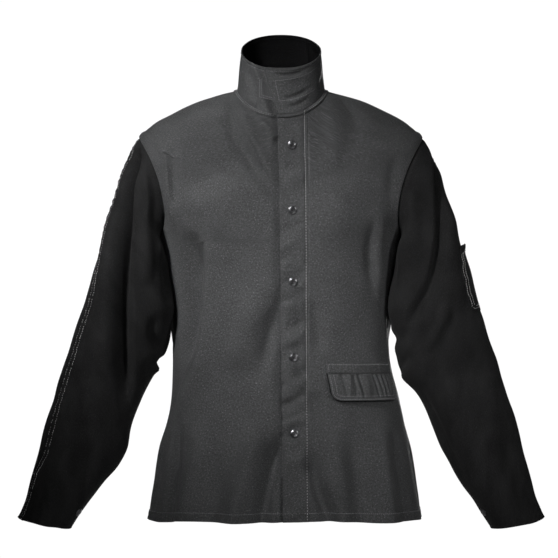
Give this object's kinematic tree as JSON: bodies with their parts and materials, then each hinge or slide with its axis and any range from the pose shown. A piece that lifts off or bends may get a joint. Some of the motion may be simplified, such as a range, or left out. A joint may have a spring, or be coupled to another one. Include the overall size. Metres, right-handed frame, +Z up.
{
  "type": "welding jacket",
  "caption": "Welding jacket with a cotton body, stand collar, snap front, flapped hip pocket and split-leather sleeves with a pen pocket.",
  "frame": {"origin": "in the neck opening, on the centre plane and in the plane of the shoulder tips, 14 mm below the side neck points", "axes": "+Z up, +X towards the wearer's left, -Y towards the front"},
  "size_m": [0.9119, 0.252, 0.857],
  "materials": {
    "body_cloth": "charcoal cotton twill, matt",
    "facing_cloth": "dark cotton inside layer, matt",
    "split_leather": "black split cowhide with a fine nap",
    "hook_tape": "woven hook tape",
    "loop_tape": "brushed loop tape",
    "hanger_tape": "narrow herringbone tape",
    "snap_metal": "gunmetal plated, slightly worn"
  },
  "bodies": {
    "root": {"back_panel": "body_cloth", "right_front_panel": "body_cloth", "left_front_panel": "body_cloth", "right_front_facing": "facing_cloth", "collar_outer": "body_cloth", "collar_lining": "facing_cloth", "collar_loop_patch": "loop_tape", "snap_studs": "snap_metal", "snap_stud_backs": "snap_metal", "pocket_band": "body_cloth", "pocket_bag": "facing_cloth", "hang_loop": "hanger_tape"},
    "placket": {"front_placket": "body_cloth", "placket_facing": "facing_cloth", "snap_caps": "snap_metal", "snap_sockets": "snap_metal", "collar_left_end": "body_cloth", "collar_left_end_lining": "facing_cloth", "collar_hook_patch": "hook_tape"},
    "flap": {"pocket_flap": "body_cloth", "pocket_flap_lining": "facing_cloth"},
    "left_sleeve": {"left_sleeve_front": "split_leather", "left_sleeve_back": "split_leather", "sleeve_pen_pocket": "split_leather", "left_cuff_underlap": "split_leather", "left_cuff_snap_cap": "snap_metal", "left_cuff_snap_stud": "snap_metal"},
    "right_sleeve": {"right_sleeve_front": "split_leather", "right_sleeve_back": "split_leather", "right_cuff_underlap": "split_leather", "right_cuff_snap_cap": "snap_metal", "right_cuff_snap_stud": "snap_metal"}
  },
  "joints": [
    {"name": "front_open", "type": "hinge", "parent": "root", "child": "placket", "pos_m": [0.046, -0.1205, -0.3815], "axis": [0, 0.0237, 0.9997], "range_deg": [0, 110]},
    {"name": "flap_lift", "type": "hinge", "parent": "root", "child": "flap", "pos_m": [0.14694, -0.09356, -0.4715], "axis": [-0.8444, -0.5357, 0], "range_deg": [0, 100]},
    {"name": "left_sleeve_raise", "type": "hinge", "parent": "root", "child": "left_sleeve", "pos_m": [0.248, 0, -0.06], "axis": [0, -1, 0], "range_deg": [0, 45]},
    {"name": "right_sleeve_raise", "type": "hinge", "parent": "root", "child": "right_sleeve", "pos_m": [-0.248, 0, -0.06], "axis": [0, 1, 0], "range_deg": [0, 45]}
  ]
}
